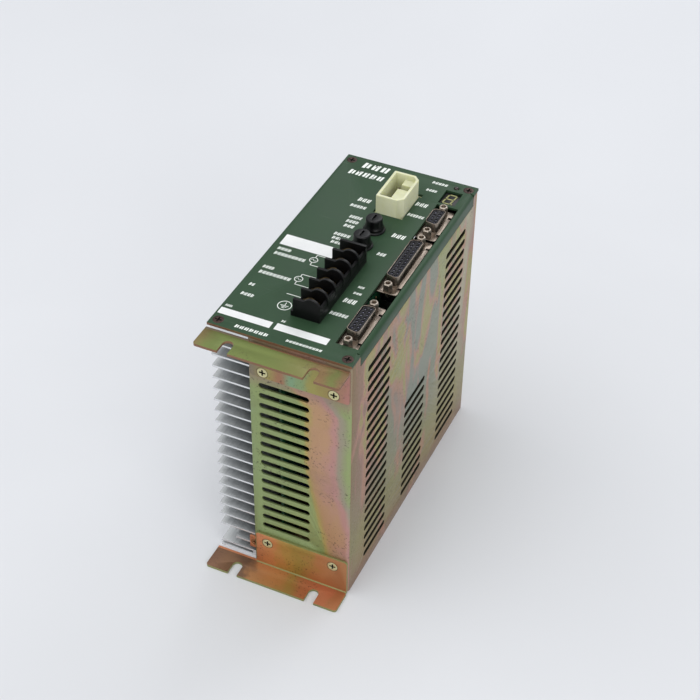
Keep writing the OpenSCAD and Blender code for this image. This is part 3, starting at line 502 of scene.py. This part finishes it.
# earth: a short line to the last terminal, and a ring round a stem and three bars
EARTH_X, EARTH_Y = -11.5, -59.5
stroke(print_shape, RING_X, -49.5, -6.9, -49.5, 0.45)
circle_line(print_shape, EARTH_X, EARTH_Y, 3.8, 0.45)
stroke(print_shape, EARTH_X, EARTH_Y + 2.6, EARTH_X, EARTH_Y - 0.1)
for half, drop in ((2.3, 0.1), (1.5, 1.1), (0.7, 2.1)):
    stroke(print_shape, EARTH_X - half, EARTH_Y - drop, EARTH_X + half, EARTH_Y - drop)
bmesh.ops.recalc_face_normals(print_shape, faces=print_shape.faces)


def on_panel(name, shape, material, radius=0.0):
    """A finished shape that lies on the panel's paint and stays with it."""
    for face in shape.faces:
        face.smooth = radius > 0
    piece = placed(name, shape)
    if radius:
        soft_edges(piece, radius, 1)
    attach(piece, "root")
    coated(piece, material)


def moulded(name, dark, light, rough, scale, scuff=None, **plain):
    """A finish with a cloudy colour, uneven gloss, a fine skin, and pale scuffs if asked for."""
    made, tree, shader, where = finish(name, **plain)
    marks = use(tree, wear, where, Scale=scale)
    colour = mixed(tree, spread(tree, marks["Cloud"], 0.3, 0.7), dark, light)
    if scuff:
        colour = mixed(tree, calc(tree, "MULTIPLY", marks["Scuff"], 0.35), colour, scuff)
    gloss = spread(tree, marks["Cloud"], 0.3, 0.7, rough - 0.06, rough + 0.07)
    feed(tree, shader, Base_Color=colour, Roughness=gloss)
    relief(tree, shader, marks["Peel"], 0.02 * MM, 0.25)
    return made


print_ink = moulded("screen_ink", tone(232, 238, 232), tone(244, 248, 242), 0.5, 180.0)
label_paper = moulded("label_paper", tone(222, 224, 224), tone(236, 237, 236), 0.42, 90.0)
on_panel("panel_print", print_shape, print_ink)
label_shape = bmesh.new()
for x0, x1, y0, y1 in ((-39.2, -6.5, -10.5, -0.6), (-41.4, -10.4, -80.2, -75.0), (-8.0, 22.9, -79.9, -74.5)):
    slab(label_shape, (x0 + x1) / 2, (y0 + y1) / 2, x1 - x0, y1 - y0, thick=PAPER_T)
on_panel("blank_labels", label_shape, label_paper, 0.03)

# ---------------------------------------------------------------------------------------------
# Screws and nuts. Rolled and headed steel: the panel's screws are blackened, the others are
# zinc plated and passivated yellow. The round nuts are pressed into the cover and rear plate.
# ---------------------------------------------------------------------------------------------
dark_screw = moulded("blackened_screw", tone(58, 46, 42), tone(82, 64, 58), 0.42, 260.0, Metallic=0.7)
zinc_screw = moulded("yellow_zinc_screw", tone(196, 190, 138), tone(220, 214, 168), 0.36, 260.0,
                     Metallic=0.55)
copper_screw = moulded("copper_zinc_screw", tone(150, 104, 72), tone(182, 132, 92), 0.36, 260.0, Metallic=0.7)
nut_steel = moulded("bright_zinc", tone(150, 152, 148), tone(176, 178, 172), 0.34, 220.0, Metallic=0.8)
# painted shade: the cross recesses of the screws get a near-black, to stand in for the shade in them
recess_painted_shade = moulded("recess_painted_shade", tone(24, 21, 18), tone(38, 33, 28), 0.7, 300.0)
CROSS_R = 2 * MM
pan_face = node_box("rear_plate_screws")[1].y
panel_screw_low, panel_screw_high = node_box("panel_screws")
panel_screw_middle = (panel_screw_low + panel_screw_high) / 2
panel_screw_half = (panel_screw_high - panel_screw_low) / 2 - Vector((HEAD_R, HEAD_R, 0))


def in_leg_recess(face):
    """Is this face inside the cross of a bracket or rear-plate screw?"""
    middle = face.calc_center_median()
    off = math.hypot(abs(middle.x - leg_middle.x) - leg_half.x, abs(middle.z - leg_middle.z) - leg_half.z)
    head_face = leg_face if middle.y < 0 else pan_face
    return off < CROSS_R and case_end + 0.4 * MM < abs(middle.y) < head_face - 0.05 * MM


def in_panel_recess(face):
    """Is this face inside the cross of a panel screw?"""
    middle = face.calc_center_median()
    off = math.hypot(abs(middle.x - panel_screw_middle.x) - panel_screw_half.x,
                     abs(middle.y - panel_screw_middle.y) - panel_screw_half.y)
    return off < CROSS_R and panel_top - 1.2 * MM < middle.z < panel_top - 0.05 * MM


coated(rounded("panel_screws", 0.1, second=in_panel_recess), dark_screw, recess_painted_shade)
coated(rounded("bracket_screws", 0.1, second=in_leg_recess), zinc_screw, recess_painted_shade)
coated(rounded("rear_plate_screws", 0.15, second=in_leg_recess), zinc_screw, recess_painted_shade)
coated(rounded("ear_screws", 0.12), copper_screw)
coated(rounded("clinch_nuts", 0.15), nut_steel)

# ---------------------------------------------------------------------------------------------
# Terminal block. One black phenolic moulding with a wall between each pair of terminals, domed
# over the screw side. Each terminal has a brass plate, a square washer and a cross-head screw.
# ---------------------------------------------------------------------------------------------
black_phenolic = moulded("black_phenolic", tone(10, 10, 11), tone(17, 17, 18), 0.42, 120.0,
                         scuff=tone(56, 56, 58), Specular_IOR_Level=0.28)
brass_plate = moulded("plated_brass", tone(60, 50, 34), tone(104, 88, 56), 0.40, 240.0, Metallic=0.85)
coated(rounded("terminal_block", 0.22, 3), black_phenolic)
coated(rounded("terminal_plates", 0.1), brass_plate)
for number in range(1, 7):
    coated(rounded("terminal_washer_%d" % number, 0.12), brass_plate)
    coated(rounded("terminal_screw_%d" % number, 0.15), brass_plate)

# ---------------------------------------------------------------------------------------------
# Fuse holders. Black nylon bodies held by a nut behind the panel. A slotted cap carries the
# glass fuse, whose end caps are nickel-plated brass.
# ---------------------------------------------------------------------------------------------
black_nylon = moulded("black_nylon", tone(13, 13, 14), tone(20, 20, 22), 0.36, 150.0, scuff=tone(66, 66, 68),
                      Specular_IOR_Level=0.32)
fuse_glass, tree, shader, where = finish("fuse_tube", Transmission_Weight=0.95, IOR=1.5, Metallic=0.0)
smear = use(tree, wear, where, Scale=200.0)
feed(tree, shader, Base_Color=mixed(tree, smear["Cloud"], tone(226, 232, 228), tone(242, 246, 244)),
     Roughness=spread(tree, smear["Cloud"], 0.3, 0.7, 0.03, 0.10))
fuse_metal = moulded("fuse_end_cap", tone(168, 166, 160), tone(196, 194, 188), 0.28, 220.0, Metallic=0.9)
fuse_middle = sum(corner.z for corner in node_box("fuse_link_1")) / 2


def fuse_end(face):
    """Is this face on one of a fuse's two metal end caps?"""
    return abs(face.calc_center_median().z - fuse_middle) >= 4.9 * MM


for number in (1, 2):
    coated(rounded("fuse_holder_%d" % number, 0.2, 3), black_nylon)
    coated(rounded("fuse_cap_%d" % number, 0.2, 3), black_nylon)
    coated(rounded("fuse_link_%d" % number, 0.15, second=fuse_end), fuse_glass, fuse_metal)
coated(rounded("fuse_nuts", 0.3), black_nylon)

# ---------------------------------------------------------------------------------------------
# Motor connector. A shroud of natural, slightly see-through nylon, held in the panel by a
# flange behind it, round three dull bronze blades.
# ---------------------------------------------------------------------------------------------
ivory_nylon = moulded("natural_nylon", tone(206, 208, 168), tone(222, 223, 190), 0.40, 70.0,
                      Subsurface_Weight=0.3, Subsurface_Radius=(0.004, 0.004, 0.002), Subsurface_Scale=0.6)
contact_bronze = moulded("dull_bronze", tone(70, 50, 38), tone(104, 78, 58), 0.48, 240.0, Metallic=0.7)
# painted shade: the shroud's floor between the blades gets a dark brown, not the nylon, to stand in for the
# shade deep in the shroud
floor_painted_shade = moulded("shroud_floor", tone(60, 46, 28), tone(84, 66, 40), 0.5, 90.0)


def shroud_floor(face):
    """Is this face the floor that the blades stand on?"""
    return face.normal.z > 0.5 and face.calc_center_median().z < panel_top - 7.5 * MM


coated(rounded("motor_shroud", 0.3, 3, second=shroud_floor), ivory_nylon, floor_painted_shade)
coated(rounded("motor_contacts", 0.15), contact_bronze)

# ---------------------------------------------------------------------------------------------
# Signal ports. Each has a drawn and tin-plated shell, a black moulded insert, and tinned
# sockets. Hexagonal jack sockets at its ends hold it and take the plug's screws.
# ---------------------------------------------------------------------------------------------
port_shell = moulded("tin_plate", tone(112, 102, 92), tone(152, 140, 128), 0.26, 130.0, Metallic=0.92)
insert_resin = moulded("insert_resin", tone(12, 12, 17), tone(20, 20, 27), 0.42, 180.0,
                       Specular_IOR_Level=0.3)
port_contact = moulded("tinned_socket", tone(150, 150, 170), tone(190, 190, 206), 0.36, 260.0, Metallic=0.7)
jack_nickel = moulded("dull_nickel", tone(150, 138, 124), tone(182, 172, 160), 0.28, 240.0,
                      scuff=tone(104, 84, 62), Metallic=0.9)
for port in ("sensor", "io", "serial"):
    coated(rounded(port + "_port_shell", 0.12, 2), port_shell)
    coated(rounded(port + "_port_insert", 0.08, 1), insert_resin)
    coated(rounded(port + "_port_contacts", 0.04, 1), port_contact)
coated(rounded("jack_sockets", 0.15), jack_nickel)

# ---------------------------------------------------------------------------------------------
# Display, power lamp and check pins. One seven-bar digit behind a black face, unlit; a dark red
# lamp; and two small pins on a bracket of the control board.
# ---------------------------------------------------------------------------------------------
display_face = moulded("display_face", tone(14, 15, 14), tone(20, 21, 20), 0.3, 90.0, Specular_IOR_Level=0.25)
display_bar = moulded("unlit_bar", tone(138, 138, 88), tone(158, 158, 104), 0.45, 180.0)
lamp_lens = moulded("unlit_lamp", tone(34, 16, 15), tone(46, 22, 19), 0.22, 120.0, Coat_Weight=0.4)
coated(rounded("digit_display", 0.25, 2), display_face)
coated(rounded("digit_segments", 0.03, 1), display_bar)
coated(rounded("power_led", 0.1, 2), lamp_lens)
coated(rounded("check_pins", 0.1), brass_plate)

# ---------------------------------------------------------------------------------------------
# Electronics inside. Two boards of green glass-epoxy on brass posts, with moulded power parts
# clamped to the heatsink, sleeved capacitors, a copper-wound choke, chips and a relay.
# ---------------------------------------------------------------------------------------------
board_laminate, tree, shader, where = finish("solder_mask", Specular_IOR_Level=0.5)
marks = use(tree, wear, where, Scale=60.0)
face_on = put(tree, "ShaderNodeMapping", {"Vector": where, "Rotation": (0.0, math.pi / 2, 0.0)})
tracks = put(tree, "ShaderNodeTexBrick", {
    "Vector": face_on.outputs["Vector"], "Scale": 160.0, "Mortar Size": 0.07, "Color1": tone(22, 62, 42),
    "Color2": tone(26, 70, 47), "Mortar": tone(44, 96, 66)}).outputs["Color"]
tint = mixed(tree, spread(tree, marks["Cloud"], 0.4, 0.6, 0.2, 0.9), tone(20, 58, 40), tracks)
feed(tree, shader, Base_Color=tint, Roughness=spread(tree, marks["Cloud"], 0.3, 0.7, 0.28, 0.42))
relief(tree, shader, marks["Peel"], 0.02 * MM, 0.3)
chip_resin = moulded("chip_resin", tone(26, 26, 28), tone(36, 36, 38), 0.55, 160.0)
capacitor_sleeve = moulded("capacitor_sleeve", tone(24, 28, 46), tone(32, 37, 58), 0.25, 60.0)
choke_copper = moulded("enamelled_copper", tone(120, 62, 34), tone(160, 88, 48), 0.3, 260.0, Metallic=0.7)
relay_case = moulded("relay_case", tone(24, 42, 84), tone(32, 52, 98), 0.38, 90.0)
for node, radius, material in (
        ("control_board", 0.1, board_laminate), ("power_board", 0.1, board_laminate),
        ("control_chips", 0.25, chip_resin), ("board_posts", 0.15, brass_plate),
        ("board_screws", 0.12, nut_steel), ("power_module", 0.5, chip_resin), ("rectifier", 0.5, chip_resin),
        ("bulk_capacitors", 0.8, capacitor_sleeve), ("filter_choke", 0.1, choke_copper),
        ("control_relay", 0.5, relay_case)):
    coated(rounded(node, radius), material)

# ---------------------------------------------------------------------------------------------
# Studio: a plain pale floor, a wide soft light from the upper left, weaker ones from the right
# and from behind, and the camera.
# ---------------------------------------------------------------------------------------------
floor_shape = bmesh.new()
bmesh.ops.create_grid(floor_shape, x_segments=8, y_segments=8, size=6.0)
floor_cloth, tree, shader, where = finish("floor_cloth", Roughness=0.9, Specular_IOR_Level=0.1)
folds = noise(tree, where, 3.0, 3.0, 0.5, 0.4)
pale = mixed(tree, spread(tree, folds, 0.3, 0.7), tone(217, 219, 222), tone(222, 224, 227))
feed(tree, shader, Base_Color=pale)
coated(placed("floor", floor_shape), floor_cloth)


def soft_light(name, place, target, size, power, colour):
    """A soft box of light that hangs at a place and faces a target."""
    lamp = bpy.data.lights.new(name, "AREA")
    lamp.shape = "RECTANGLE"
    lamp.size, lamp.size_y = size
    lamp.energy = power
    lamp.color = colour
    holder = bpy.data.objects.new(name, lamp)
    holder.location = place
    holder.rotation_euler = (Vector(target) - Vector(place)).to_track_quat("-Z", "Y").to_euler()
    bpy.context.scene.collection.objects.link(holder)


soft_light("key", (-0.5, -0.4, 2.0), (0, 0, 0.1), (2.8, 2.8), 33, (1.0, 0.99, 0.98))
soft_light("fill", (1.6, -1.4, 0.9), (0, 0, 0.08), (1.6, 1.1), 12, (1.0, 0.99, 0.97))
soft_light("back", (0.2, 1.8, 1.4), (0, 0, 0.1), (1.6, 1.0), 12, (0.97, 0.98, 1.0))

room = bpy.data.worlds.new("room")
room.use_nodes = True
room.node_tree.nodes["Background"].inputs["Color"].default_value = (0.93, 0.95, 1.0, 1.0)
room.node_tree.nodes["Background"].inputs["Strength"].default_value = 0.5
bpy.context.scene.world = room
bpy.context.scene.view_settings.view_transform = "Standard"

CAMERA_AT = (0.29182, -0.649455, 0.702869)
turn, tilt, roll = math.radians(24.134), math.radians(40.183), math.radians(0.94)
back = Vector((math.sin(turn) * math.cos(tilt), -math.cos(turn) * math.cos(tilt), math.sin(tilt)))
right = Vector((math.cos(turn), math.sin(turn), 0.0))
up = back.cross(right)
right, up = right * math.cos(roll) + up * math.sin(roll), up * math.cos(roll) - right * math.sin(roll)
lens = bpy.data.cameras.new("camera")
lens.lens = 81.02
lens.sensor_width = 36.0
lens.clip_start = 0.05
camera = bpy.data.objects.new("camera", lens)
camera.matrix_world = Matrix.Translation(CAMERA_AT) @ Matrix((right, up, back)).transposed().to_4x4()
bpy.context.scene.collection.objects.link(camera)
bpy.context.scene.camera = camera
